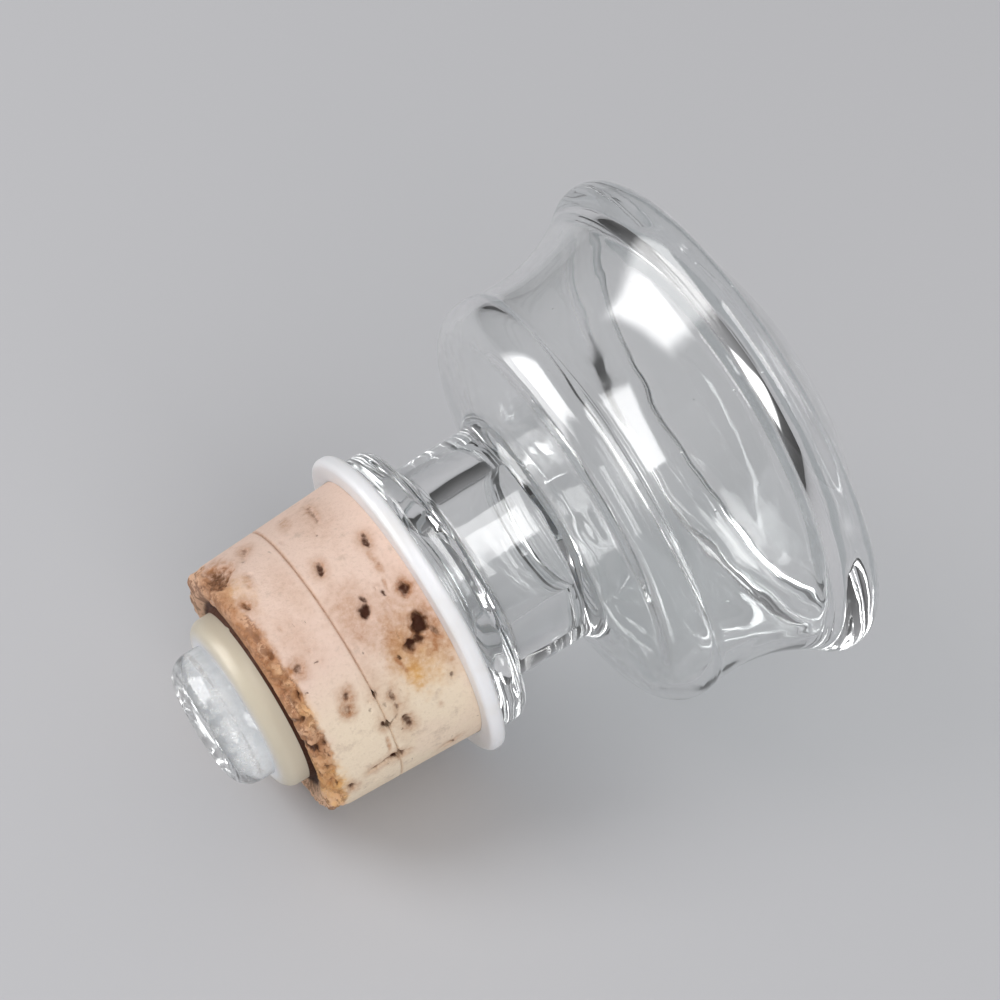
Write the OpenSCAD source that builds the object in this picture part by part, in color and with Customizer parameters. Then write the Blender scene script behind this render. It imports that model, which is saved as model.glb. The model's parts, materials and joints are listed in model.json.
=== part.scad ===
// Hollow glass stopper for a decanter, with a plastic sleeve and a laminated cork.
//
// Each piece is turned about one axis. Heights run along that axis from the seat,
// the face of the flange that rests on the bottle's mouth: the head is above it
// and the cork below it. lay_down() then puts the whole stopper on its side, at
// rest on its rim and on the widest edge below the seat.

/* [Head] */
// Width across the rim, the widest part of the head
rim_dia = 62; // [58:0.2:68]
// Height of the rim's widest line
rim_height = 42.5; // [40:0.5:46]
// Radius of the rim's rounded edge
rim_edge = 3.2; // [2.8:0.1:3.8]
// Width of the dome where it rises from the rim
dome_dia = 52.4; // [50.4:0.2:53.4]
// Height of the dome's top
dome_top = 53.4; // [51:0.2:57]
// Width of the skirt between the bowl and the rim
skirt_dia = 52; // [50:0.2:52.2]
// Height at which the skirt starts to flare out to the rim
flare_start = 28.5; // [27.5:0.5:31]
// Width across the bowl's shoulder
bowl_dia = 52.8; // [52.4:0.2:56]
// Height of the shoulder's widest line
bowl_height = 24.4; // [23.4:0.1:25.4]
// Radius of the bowl's rounded shoulder
bowl_edge = 4.6; // [4:0.1:5.6]
// Height at which the bowl's underside meets the neck
bowl_base = 17.4; // [15.6:0.2:18]

/* [Neck and collar] */
// Width of the neck
neck_dia = 27.4; // [24:0.2:29]
// Radius of the hollow that blends the neck into the bowl
neck_blend = 2; // [1:0.5:3]
// Width of the collar that sits on the flange
collar_dia = 35; // [33:0.2:36.4]
// Thickness of the collar
collar_thick = 4; // [3.2:0.1:4.6]
// Radius of the collar's rounded edges
collar_edge = 1.5; // [0.8:0.1:1.6]
// Radius of the hollow that blends the collar into the neck
collar_blend = 1.4; // [0.6:0.2:2]

/* [Peg] */
// Width of the peg that holds the sleeve
peg_dia = 16.6; // [15:0.2:17.4]
// Length of the bare glass tip that stands out of the sleeve
tip_length = 4.4; // [3.2:0.2:7]
// Radius of the tip's rounded edge
tip_edge = 2.7; // [1.5:0.1:3]

/* [Hollow] */
// Thickness of the glass in the bowl and skirt
wall = 1.8; // [1.4:0.1:2.6]
// Thickness of the glass at the dome's top
dome_wall = 2.6; // [2:0.1:3.2]
// Width of the domed part of the hollow's ceiling
ceiling_dia = 40; // [36:0.5:44]
// Height of the ceiling's flat ledge above the rim's widest line
ledge_rise = 1.5; // [0.8:0.1:2]
// Radius of the hollow's corner under the ledge
ledge_edge = 3.5; // [2:0.5:4]
// Width of the bore in the neck
neck_bore_dia = 16; // [14:0.5:18]
// Width of the blow hole in the peg
blow_hole_dia = 6; // [4:0.5:8]
// Depth of glass that closes the blow hole at the tip
tip_seal = 5.5; // [4:0.5:8]
// Height of the cone that joins the blow hole to the neck bore
bore_cone = 8; // [6:0.5:10]

/* [Sleeve] */
// Width of the flange
flange_dia = 38.6; // [37:0.2:40]
// Thickness of the flange
flange_thick = 2; // [1.6:0.1:3]
// Radius of the flange's rounded edge
flange_edge = 0.8; // [0.3:0.1:0.8]
// Depth of the recess in the flange that the cork's top sits in
cork_seat_depth = 0.4; // [0.2:0.1:0.8]
// Width of the sleeve's tube
tube_dia = 21.6; // [20:0.2:23]
// Length of tube that stands out below the cork
tube_stand_out = 3; // [2.2:0.1:4]
// Radius of the tube's rounded end
tube_edge = 1.8; // [0.8:0.1:1.9]

/* [Cork] */
// Width of the cork at the flange
cork_top_dia = 33; // [31:0.2:34.6]
// Width of the cork at its lower end
cork_end_dia = 31.2; // [29:0.2:32]
// Length of the upper cork ring below the flange
upper_ring_length = 10.2; // [8:0.2:14]
// Length of the lower cork ring
lower_ring_length = 9; // [6:0.2:12]
// Radius of the cork's worn lower edge
cork_edge = 0.9; // [0.4:0.1:2]
// Depth of the bevels that show the glue line between the rings
glue_bevel = 0.2; // [0.1:0.05:0.5]

/* [Fit] */
// Gap between the peg and the sleeve's bore
peg_gap = 0.05; // [0.02:0.01:0.2]
// Gap between the sleeve's tube and the bore of the cork
cork_gap = 0.05; // [0.02:0.01:0.2]

/* [Hidden] */
$fn = 96;
// Overlap of two outlines that are joined into one
join = 0.01;

// Radii from the widths
rim_r = rim_dia / 2;
dome_r = dome_dia / 2;
skirt_r = skirt_dia / 2;
neck_r = neck_dia / 2;
collar_r = collar_dia / 2;
peg_r = peg_dia / 2;
neck_bore_r = neck_bore_dia / 2;
blow_hole_r = blow_hole_dia / 2;
ceiling_r = ceiling_dia / 2;
flange_r = flange_dia / 2;
tube_r = tube_dia / 2;
cork_top_r = cork_top_dia / 2;
cork_end_r = cork_end_dia / 2;

// Heights below the seat
cork_length = upper_ring_length + lower_ring_length;
tube_end = -cork_length - tube_stand_out;
tip_end = tube_end - tip_length;

// Heights above the seat
collar_top = flange_thick + collar_thick;

// Centres of the rounded edges, as [distance from the axis, height]
rim_centre = [rim_r - rim_edge, rim_height];
bowl_centre = [bowl_dia / 2 - bowl_edge, bowl_height];
tip_centre = [peg_r - tip_edge, tip_end + tip_edge];
flange_centre = [flange_r - flange_edge, flange_edge];

// The flare is a hollow curve that leaves the skirt upright and runs into the rim
flare_rise = rim_height - flare_start;
flare_reach = rim_centre.x - skirt_r;
flare_r = (flare_rise ^ 2 + flare_reach ^ 2 - rim_edge ^ 2) / (2 * (rim_r - skirt_r));
flare_centre = [skirt_r + flare_r, flare_start];

// The dome is part of a sphere that starts on the inner slope of the rim
dome_base = rim_height + sqrt(rim_edge ^ 2 - (rim_centre.x - dome_r) ^ 2);
dome_rise = dome_top - dome_base;
dome_radius = (dome_r ^ 2 + dome_rise ^ 2) / (2 * dome_rise);
dome_centre = dome_top - dome_radius;

// The bowl's underside is a cone that touches the rounded shoulder
shoulder_step = bowl_centre - [neck_r, bowl_base];
shoulder_reach = norm(shoulder_step);
underside_rise = atan2(shoulder_step.y, shoulder_step.x) - asin(bowl_edge / shoulder_reach);
underside_along = [cos(underside_rise), sin(underside_rise)];
underside_up = [-underside_along.y, underside_along.x];

// The hollow follows the bowl, the skirt and the flare, one wall further in
hollow_r = skirt_r - wall;
inner_flare_r = flare_r + wall;
inner_shoulder_edge = bowl_edge - wall;
inner_throat = bowl_base + wall / cos(underside_rise)
    - (neck_r - neck_bore_r) * tan(underside_rise);
blow_hole_end = tip_end + tip_seal;

// A rounded corner runs from the inner flare into the flat ledge
ledge_height = rim_height + ledge_rise;
ledge_centre_height = ledge_height - ledge_edge;
ledge_drop = ledge_centre_height - flare_start;
ledge_centre = [
    flare_centre.x - sqrt((inner_flare_r + ledge_edge) ^ 2 - ledge_drop ^ 2),
    ledge_centre_height
];

// The ceiling is part of a sphere that starts from the ledge
ceiling_top = dome_top - dome_wall;
ceiling_rise = ceiling_top - ledge_height;
ceiling_radius = (ceiling_r ^ 2 + ceiling_rise ^ 2) / (2 * ceiling_rise);
ceiling_centre = ceiling_top - ceiling_radius;

// The cork narrows evenly towards its lower end
cork_slope = (cork_top_r - cork_end_r) / cork_length;
function cork_radius(height) = cork_top_r + height * cork_slope;
cork_seat_r = cork_radius(cork_seat_depth) + cork_gap;
cork_edge_centre = [
    cork_end_r + cork_edge * (cork_slope - sqrt(1 + cork_slope ^ 2)),
    cork_edge - cork_length
];

// Tilt of the axis when a straight edge touches the rim and a rounded edge below
function rest_tilt(centre, edge) =
    let (step = rim_centre - centre)
    atan2(step.x, step.y) + asin((rim_edge - edge) / norm(step));

// The stopper comes to rest on the first edge that reaches the surface
lay_tilt = min(
    rest_tilt(cork_edge_centre, cork_edge),
    rest_tilt(flange_centre, flange_edge),
    rest_tilt(tip_centre, tip_edge)
);
lay_height = rim_centre.x * cos(lay_tilt) + rim_edge - rim_centre.y * sin(lay_tilt);
tip_reach = tip_centre.y * cos(lay_tilt) - tip_centre.x * sin(lay_tilt) - tip_edge;
dome_reach = dome_centre * cos(lay_tilt) + dome_radius;
lay_shift = -(tip_reach + dome_reach) / 2;

// Lay a piece on its side with the head towards +X
module lay_down() {
    translate([lay_shift, 0, lay_height])
        rotate([0, 90 - lay_tilt, 0])
            children();
}

// Fill between the axis and a radius, from one height to another
module band(radius, low, high) {
    translate([0, low])
        square([radius, high - low]);
}

// A disc's outline with both its edges rounded
module rounded_band(radius, low, high, edge) {
    band(radius - edge, low, high);
    band(radius, low + edge, high - edge);
    for (height = [low + edge, high - edge])
        translate([radius - edge, height])
            circle(edge);
}

// A peg's outline with its lower edge rounded
module rounded_peg(radius, low, high, edge) {
    band(radius - edge, low, high);
    band(radius, low + edge, high);
    translate([radius - edge, low + edge])
        circle(edge);
}

// The hollow corner where the neck rises from the collar
module collar_fillet() {
    difference() {
        translate([neck_r - join, collar_top - join])
            square(collar_blend + join);
        translate([neck_r + collar_blend, collar_top + collar_blend])
            circle(collar_blend);
    }
}

// The hollow corner where the neck meets the bowl's underside
module neck_fillet() {
    corner = [neck_r, bowl_base];
    centre = corner + [
        neck_blend,
        (underside_along.y - 1) * neck_blend / underside_along.x
    ];
    difference() {
        polygon([
            corner - [join, 0],
            [neck_r - join, centre.y],
            centre,
            centre + neck_blend * underside_up,
            corner + [0, join]
        ]);
        translate(centre)
            circle(neck_blend);
    }
}

// The cone under the bowl and the rounded shoulder
module bowl_outline() {
    polygon([
        [0, bowl_base],
        [neck_r, bowl_base],
        bowl_centre - bowl_edge * underside_up,
        bowl_centre,
        [bowl_centre.x, flare_start],
        [0, flare_start]
    ]);
    translate(bowl_centre)
        circle(bowl_edge);
}

// The upright skirt, its flare and the rounded rim
module skirt_outline() {
    band(skirt_r, bowl_height, flare_start + join);
    difference() {
        polygon([[0, flare_start], flare_centre, rim_centre, [0, rim_height]]);
        translate(flare_centre)
            circle(flare_r, $fn = 4 * $fn);
    }
    translate(rim_centre)
        circle(rim_edge);
}

// The dome from the rim up
module dome_outline() {
    intersection() {
        translate([0, dome_centre])
            circle(dome_radius, $fn = 4 * $fn);
        band(dome_r, rim_height - join, dome_top + join);
    }
}

// The outside of the glass, from the tip to the top of the dome
module glass_outline() {
    rounded_peg(peg_r, tip_end, flange_thick + join, tip_edge);
    rounded_band(collar_r, flange_thick, collar_top, collar_edge);
    collar_fillet();
    band(neck_r, collar_top - join, bowl_base + join);
    neck_fillet();
    bowl_outline();
    skirt_outline();
    dome_outline();
}

// The hollow inside the bowl, above the inner throat
module bowl_hollow() {
    polygon([
        [0, inner_throat],
        [neck_bore_r, inner_throat],
        bowl_centre - inner_shoulder_edge * underside_up,
        bowl_centre,
        [bowl_centre.x, flare_start],
        [0, flare_start]
    ]);
    translate(bowl_centre)
        circle(inner_shoulder_edge);
}

// The hollow inside the skirt and the flare, up to the ledge
module skirt_hollow() {
    band(hollow_r, bowl_height, flare_start + join);
    difference() {
        polygon([[0, flare_start], flare_centre, ledge_centre, [0, ledge_centre.y]]);
        translate(flare_centre)
            circle(inner_flare_r, $fn = 4 * $fn);
    }
    translate(ledge_centre)
        circle(ledge_edge);
    band(ledge_centre.x, ledge_centre.y - join, ledge_height);
}

// The hollow under the domed ceiling
module ceiling_hollow() {
    intersection() {
        translate([0, ceiling_centre])
            circle(ceiling_radius, $fn = 4 * $fn);
        band(ceiling_r, ledge_height - join, ceiling_top + join);
    }
}

// The hollow left by blowing: the blow hole, its cone, the neck bore and the head
module glass_hollow() {
    band(blow_hole_r, blow_hole_end + blow_hole_r, join);
    intersection() {
        translate([0, blow_hole_end + blow_hole_r])
            circle(blow_hole_r);
        band(blow_hole_r, blow_hole_end, blow_hole_end + blow_hole_r + join);
    }
    polygon([
        [0, 0],
        [blow_hole_r, 0],
        [neck_bore_r, bore_cone],
        [neck_bore_r, inner_throat + join],
        [0, inner_throat + join]
    ]);
    bowl_hollow();
    skirt_hollow();
    ceiling_hollow();
}

// The flange with its recess for the cork, and the tube with its rounded end
module sleeve_outline() {
    difference() {
        union() {
            difference() {
                rounded_band(flange_r, 0, flange_thick, flange_edge);
                band(cork_seat_r, -join, cork_seat_depth);
            }
            rounded_peg(tube_r, tube_end, cork_seat_depth + join, tube_edge);
        }
        band(peg_r + peg_gap, tube_end - join, flange_thick + join);
    }
}

// A ring of cork, bevelled at the glue line
module cork_ring_outline(low, high, bevel_low, bevel_high) {
    bore = tube_r + cork_gap;
    polygon([
        [bore, low],
        [cork_radius(low) - bevel_low, low],
        [cork_radius(low + bevel_low), low + bevel_low],
        [cork_radius(high - bevel_high), high - bevel_high],
        [cork_radius(high) - bevel_high, high],
        [bore, high]
    ]);
}

// The lower ring with its outer edge worn round
module worn_ring_outline() {
    side = [1, -cork_slope] / sqrt(1 + cork_slope ^ 2);
    bore = tube_r + cork_gap;
    high = -upper_ring_length;
    polygon([
        [bore, -cork_length],
        [cork_edge_centre.x, -cork_length],
        cork_edge_centre,
        cork_edge_centre + cork_edge * side,
        [cork_radius(high - glue_bevel), high - glue_bevel],
        [cork_radius(high) - glue_bevel, high],
        [bore, high]
    ]);
    translate(cork_edge_centre)
        circle(cork_edge);
}

// One hollow piece of glass: tip, peg, collar, neck, bowl, skirt, rim and dome
module glass_stopper() {
    color([0.82, 0.9, 0.87, 0.35])
        lay_down()
            rotate_extrude()
                difference() {
                    intersection() {
                        glass_outline();
                        band(rim_r + join, tip_end, dome_top);
                    }
                    glass_hollow();
                }
}

// The soft white sleeve between the glass and the cork
module plastic_sleeve() {
    color([0.93, 0.93, 0.91])
        lay_down()
            rotate_extrude()
                sleeve_outline();
}

// The cork ring against the flange
module upper_cork_ring() {
    color([0.84, 0.7, 0.58])
        lay_down()
            rotate_extrude()
                cork_ring_outline(-upper_ring_length, cork_seat_depth, glue_bevel, 0);
}

// The cork ring at the lower end
module lower_cork_ring() {
    color([0.86, 0.72, 0.58])
        lay_down()
            rotate_extrude()
                worn_ring_outline();
}

glass_stopper();
plastic_sleeve();
upper_cork_ring();
lower_cork_ring();
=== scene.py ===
"""Dresses the glass stopper: blown glass, a white plastic sleeve and a worn cork of two rings.

Lengths in the classes are in millimetres, and SCALE turns them into the scene's metres.
Each piece is turned about the stopper's own axis. Heights run along that axis from the
seat, the face of the flange that rests on a bottle's mouth: the head is above it and the
cork below it. Angles run round the axis from the side that faces up to the front.
"""

import json
import logging
import math
from dataclasses import dataclass
from enum import Enum

import bmesh
import bpy
import numpy as np
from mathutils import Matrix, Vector, noise


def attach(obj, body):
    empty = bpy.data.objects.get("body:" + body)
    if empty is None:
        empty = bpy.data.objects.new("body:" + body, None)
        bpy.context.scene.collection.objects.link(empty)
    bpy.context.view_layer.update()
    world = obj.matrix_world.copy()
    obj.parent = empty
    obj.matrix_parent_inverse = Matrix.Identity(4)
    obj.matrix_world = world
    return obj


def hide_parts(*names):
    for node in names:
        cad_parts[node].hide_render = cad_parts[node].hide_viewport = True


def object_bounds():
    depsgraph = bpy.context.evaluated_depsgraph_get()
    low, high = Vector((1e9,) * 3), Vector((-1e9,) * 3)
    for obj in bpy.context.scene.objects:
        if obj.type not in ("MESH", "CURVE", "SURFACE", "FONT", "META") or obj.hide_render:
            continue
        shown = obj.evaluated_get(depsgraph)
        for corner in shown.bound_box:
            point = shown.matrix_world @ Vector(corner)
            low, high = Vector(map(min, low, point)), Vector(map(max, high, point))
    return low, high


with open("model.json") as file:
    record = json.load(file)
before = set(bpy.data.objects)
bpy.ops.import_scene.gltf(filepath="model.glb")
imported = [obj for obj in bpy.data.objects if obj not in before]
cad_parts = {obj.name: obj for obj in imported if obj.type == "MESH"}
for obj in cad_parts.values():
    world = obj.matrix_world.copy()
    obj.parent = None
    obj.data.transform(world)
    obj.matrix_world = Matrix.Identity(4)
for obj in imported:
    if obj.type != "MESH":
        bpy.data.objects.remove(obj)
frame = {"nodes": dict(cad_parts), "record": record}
cad_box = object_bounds()

SCALE = 0.001
WELD = 1e-7
BODY = "root"
VERTICAL = Vector((0, 0, 1))

log = logging.getLogger("stopper")

Point = tuple[float, float]
Colour = tuple[float, float, float]
Socket = bpy.types.NodeSocket


class Slot(Enum):
    """The record's material slots."""

    GLASS = "clear_glass"
    PLASTIC = "white_plastic"
    CORK = "cork"


class Solid(Enum):
    """Which side of an outline is solid, seen along its points."""

    LEFT = 1
    RIGHT = -1


@dataclass(frozen=True)
class Placement:
    """Where the stopper's axis lies in the row frame.

    Attributes:
        seat: The point on the axis at height 0, in metres.
        axis: Unit vector towards the head.
        up: Unit vector square to the axis, pointing away from the surface below.
        front: Unit vector square to both.
    """

    seat: Vector
    axis: Vector
    up: Vector
    front: Vector

    @classmethod
    def from_record(cls, record: dict) -> "Placement":
        """Read the axis and the seat from the record's mounts.

        Args:
            record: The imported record.

        Returns:
            The placement of the stopper.
        """
        mounts = {mount["name"]: mount for mount in record["mounts"]}
        plug = mounts["cork_plug"]
        axis = -Vector(plug["axis"]).normalized()
        on_axis = Vector(plug["pos_m"])
        on_seat = Vector(mounts["seat_face"]["pos_m"])
        seat = on_axis + axis * (on_seat - on_axis).dot(axis)
        up = (VERTICAL - axis * VERTICAL.dot(axis)).normalized()
        return cls(seat, axis, up, axis.cross(up))

    def turn(self) -> np.ndarray:
        """The stopper's own three directions as rows."""
        return np.array([self.up, self.front, self.axis])

    def place(self, points: np.ndarray) -> np.ndarray:
        """Take rows of distance up, distance to the front and height to the row frame."""
        return points @ self.turn() * SCALE + np.array(self.seat)

    def own(self, points: np.ndarray) -> np.ndarray:
        """Take rows of X, Y and Z to distance up, distance to the front and height."""
        return (points - np.array(self.seat)) @ self.turn().T / SCALE


@dataclass(frozen=True)
class Reach:
    """How far a CAD node reaches along the stopper's axis and away from it."""

    low: float
    high: float
    radius: float

    @classmethod
    def of_node(cls, name: str, placement: Placement) -> "Reach":
        """Measure a node of the frame.

        Args:
            name: The CAD node.
            placement: Where the stopper lies.

        Returns:
            The node's lowest and highest height and its largest radius.
        """
        vertices = frame["nodes"][name].data.vertices
        flat = np.empty(len(vertices) * 3)
        vertices.foreach_get("co", flat)
        own = placement.own(flat.reshape(-1, 3))
        radii = np.hypot(own[:, 0], own[:, 1])
        return cls(float(own[:, 2].min()), float(own[:, 2].max()), float(radii.max()))


class Outline:
    """A half section, built from straight and round stretches.

    Points are distance from the axis and height. Each stretch gives back the same
    outline, for the next one.
    """

    least_arc_steps = 6

    def __init__(self, start: Point, step: float) -> None:
        """Start at a point, with the longest stretch between two points."""
        self.points: list[Point] = [start]
        self.step = step

    def line(self, end: Point, step: float | None = None) -> "Outline":
        """Go straight to a point, in even steps.

        Args:
            end: The point to reach.
            step: The longest stretch between two points here, if it isn't the outline's.

        Returns:
            The same outline.
        """
        start = self.points[-1]
        count = max(1, math.ceil(math.dist(start, end) / (step or self.step)))
        for i in range(1, count + 1):
            share = i / count
            self.points.append(tuple(a + (b - a) * share for a, b in zip(start, end)))
        return self

    def arc(self, centre: Point, radius: float, start: float, end: float) -> "Outline":
        """Go straight to where an arc starts, and then round its centre.

        Args:
            centre: The arc's centre.
            radius: Its radius.
            start: The angle at its start, in degrees from the outward direction.
            end: The angle at its end.

        Returns:
            The same outline.
        """
        span = math.radians(end - start)
        count = max(self.least_arc_steps, math.ceil(abs(span) * radius / self.step))
        angles = [math.radians(start) + span * i / count for i in range(count + 1)]
        curve = [
            (centre[0] + radius * math.cos(a), centre[1] + radius * math.sin(a))
            for a in angles
        ]
        if math.dist(self.points[-1], curve[0]) > self.step / 10:
            self.line(curve[0])
        self.points += curve[1:]
        return self


@dataclass
class Grid:
    """Points turned about the axis, by place round it and then along the outline.

    Attributes:
        points: Distance up, distance to the front, and height.
        normals: The unit vector out of the solid at each point.
        solid: Which side of the outline is solid.
        loop: True if the outline's last point joins its first.
    """

    points: np.ndarray
    normals: np.ndarray
    solid: Solid
    loop: bool

    @classmethod
    def turned(cls, outline: Outline, around: int, solid: Solid, loop: bool = False) -> "Grid":
        """Turn an outline about the axis.

        Args:
            outline: The half section.
            around: How many times it is repeated round the axis.
            solid: Which side of the outline is solid.
            loop: True if the outline's last point joins its first.

        Returns:
            The grid.
        """
        section = np.array(outline.points)
        slope = np.gradient(section, axis=0)
        slope /= np.linalg.norm(slope, axis=1)[:, None] + 1e-12
        across = solid.value * slope[:, 1]
        along = -solid.value * slope[:, 0]
        angles = np.arange(around) / around * 2 * math.pi
        cosine = np.cos(angles)[:, None]
        sine = np.sin(angles)[:, None]
        flat = np.ones_like(cosine)
        points = np.stack(
            [section[:, 0] * cosine, section[:, 0] * sine, section[:, 1] * flat], -1
        )
        normals = np.stack([across * cosine, across * sine, along * flat], -1)
        return cls(points, normals, solid, loop)

    def radii(self) -> np.ndarray:
        """The distance of each point from the axis."""
        return np.hypot(self.points[..., 0], self.points[..., 1])

    def angles(self) -> np.ndarray:
        """The angle of each point round the axis, in radians."""
        return np.arctan2(self.points[..., 1], self.points[..., 0])

    def heights(self) -> np.ndarray:
        """The height of each point."""
        return self.points[..., 2]

    def waves(self, length: float, seed: float) -> np.ndarray:
        """Soft noise at each point.

        Args:
            length: How far apart the waves lie.
            seed: Moves the pattern, so that two calls differ.

        Returns:
            A value from 0 to 1 at each point.
        """
        shift = Vector((seed, 2 * seed, 3 * seed))
        rows = self.points.reshape(-1, 3) / length
        values = np.array([noise.noise(Vector(row) + shift) for row in rows])
        return np.clip(0.5 + 0.5 * values, 0, 1).reshape(self.points.shape[:2])

    def sink(self, depth: np.ndarray) -> None:
        """Move each point into the solid by its own depth."""
        self.points = self.points - self.normals * depth[..., None]

    def slant(self, depth: np.ndarray) -> None:
        """Move each point halfway between towards the axis and towards the head.

        Args:
            depth: How far, at each point.
        """
        share = depth * math.sqrt(0.5)
        self.points[..., :2] *= (1 - share / self.radii())[..., None]
        self.points[..., 2] += share

    def faces(self, start: int) -> list[tuple[int, ...]]:
        """The faces between the points.

        Args:
            start: The number of the grid's first point in its mesh.

        Returns:
            Four point numbers for each face.
        """
        around, along = self.points.shape[:2]
        found = []
        for i in range(around):
            here = start + i * along
            following = start + (i + 1) % around * along
            for j in range(along if self.loop else along - 1):
                k = (j + 1) % along
                face = (here + j, following + j, following + k, here + k)
                found.append(face if self.solid is Solid.LEFT else face[::-1])
        return found


def smooth(values: np.ndarray, low: float, high: float) -> np.ndarray:
    """Ease from 0 at low to 1 at high, which may be below low."""
    share = np.clip((values - low) / (high - low), 0, 1)
    return share * share * (3 - 2 * share)


def make_mesh(
    name: str,
    grids: list[Grid],
    placement: Placement,
    marks: dict[str, np.ndarray],
    crease: float = 35,
) -> bpy.types.Mesh:
    """Join grids into one smooth mesh in the row frame.

    Args:
        name: The mesh's name.
        grids: Its turned grids.
        placement: Where the stopper lies.
        marks: Named values at each point, kept as attributes.
        crease: Edges sharper than this, in degrees, stay sharp.

    Returns:
        The mesh.
    """
    faces: list[tuple[int, ...]] = []
    count = 0
    for grid in grids:
        faces += grid.faces(count)
        count += grid.points.shape[0] * grid.points.shape[1]
    points = np.concatenate([grid.points.reshape(-1, 3) for grid in grids])
    data = bpy.data.meshes.new(name)
    data.from_pydata(placement.place(points).tolist(), [], faces)
    for mark, values in marks.items():
        data.attributes.new(mark, "FLOAT", "POINT").data.foreach_set(
            "value", values.astype(np.float32).ravel()
        )
    weld = bmesh.new()
    weld.from_mesh(data)
    bmesh.ops.remove_doubles(weld, verts=weld.verts, dist=WELD)
    weld.to_mesh(data)
    weld.free()
    data.shade_smooth()
    data.set_sharp_from_angle(angle=math.radians(crease))
    return data


@dataclass(frozen=True)
class Pattern:
    """The look of soft noise.

    Attributes:
        spacing: How far apart its blobs lie.
        detail: How many finer layers it has.
        rough: How strong they are.
    """

    spacing: float
    detail: float
    rough: float = 0.5


class Nodes:
    """Adds nodes to a tree and joins them up."""

    def __init__(self, tree: bpy.types.NodeTree) -> None:
        """Work on a shader or geometry node tree."""
        self.tree = tree

    def add(
        self, kind: str, inputs: dict | None = None, **settings: object
    ) -> bpy.types.Node:
        """Add a node.

        Args:
            kind: The node's type.
            inputs: A value or a socket for each input, by its name or number.
            **settings: The node's own settings, which are set first.

        Returns:
            The node.
        """
        node = self.tree.nodes.new(kind)
        for name, value in settings.items():
            setattr(node, name, value)
        for key, value in (inputs or {}).items():
            if isinstance(value, Socket):
                self.tree.links.new(value, node.inputs[key])
            else:
                node.inputs[key].default_value = value
        return node

    def get(self, kind: str, inputs: dict | None = None, **settings: object) -> Socket:
        """Add a node and read its first output."""
        return self.add(kind, inputs, **settings).outputs[0]

    def math(self, operation: str, *values: float | Socket) -> Socket:
        """Do arithmetic on numbers, which are the node's inputs in order."""
        return self.get("ShaderNodeMath", dict(enumerate(values)), operation=operation)

    def vector(self, operation: str, *values: Vector | Socket) -> Socket:
        """Do arithmetic on vectors that gives a vector."""
        return self.get("ShaderNodeVectorMath", dict(enumerate(values)), operation=operation)

    def measure(self, operation: str, *values: Vector | Socket) -> Socket:
        """Do arithmetic on vectors that gives a number."""
        inputs = dict(enumerate(values))
        return self.add("ShaderNodeVectorMath", inputs, operation=operation).outputs["Value"]

    def scaled(self, vector: Socket, factor: float | Socket) -> Socket:
        """Make a vector longer or shorter by a factor."""
        inputs = {0: vector, "Scale": factor}
        return self.get("ShaderNodeVectorMath", inputs, operation="SCALE")

    def ramp(self, value: Socket, low: float, high: float, top: float = 1) -> Socket:
        """Ease from 0 where the value is low to top where it is high."""
        inputs = {0: value, 1: low, 2: high, 3: 0.0, 4: top}
        return self.get("ShaderNodeMapRange", inputs, interpolation_type="SMOOTHSTEP")

    def mix(
        self, share: float | Socket, first: Colour | Socket, second: Colour | Socket
    ) -> Socket:
        """Mix two colours.

        Args:
            share: 0 for the first and 1 for the second.
            first: The first colour.
            second: The second colour.

        Returns:
            The mixed colour.
        """
        inputs = {0: share}
        for number, colour in ((6, first), (7, second)):
            inputs[number] = colour if isinstance(colour, Socket) else (*colour, 1)
        return self.add("ShaderNodeMix", inputs, data_type="RGBA").outputs[2]

    def noise(self, place: Socket, look: Pattern, output: str | int = 0) -> Socket:
        """Soft noise.

        Args:
            place: The coordinates to read it at.
            look: Its pattern.
            output: Which output to read, 0 for a number or Color for three.

        Returns:
            Values near 0.5.
        """
        scale = 1 / (look.spacing * SCALE)
        inputs = {"Vector": place, "Scale": scale, "Detail": look.detail, "Roughness": look.rough}
        return self.add("ShaderNodeTexNoise", inputs).outputs[output]


class Paint(Nodes):
    """The nodes of a material."""

    def __init__(self, name: str) -> None:
        """Start a material.

        Args:
            name: The material's name.
        """
        self.material = bpy.data.materials.new(name)
        self.material.use_nodes = True
        super().__init__(self.material.node_tree)
        self.tree.nodes.clear()
        self.place = self.add("ShaderNodeTexCoord").outputs["Object"]
        self.out = self.add("ShaderNodeOutputMaterial")

    def mark(self, name: str) -> Socket:
        """Read a named value of the mesh."""
        return self.add("ShaderNodeAttribute", attribute_name=name).outputs["Fac"]

    def spots(self, look: Pattern) -> Socket:
        """Soft noise that stays fixed to the piece."""
        return self.noise(self.place, look)

    def bump(self, height: Socket, depth: float, strength: float = 1) -> Socket:
        """Turn a height from 0 to 1 into a normal, with the relief's depth in millimetres."""
        inputs = {"Height": height, "Distance": depth * SCALE, "Strength": strength}
        return self.get("ShaderNodeBump", inputs)

    def showing(self, shader: Socket) -> bpy.types.Material:
        """The finished material, which shows a shader."""
        self.tree.links.new(shader, self.out.inputs["Surface"])
        return self.material


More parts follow.
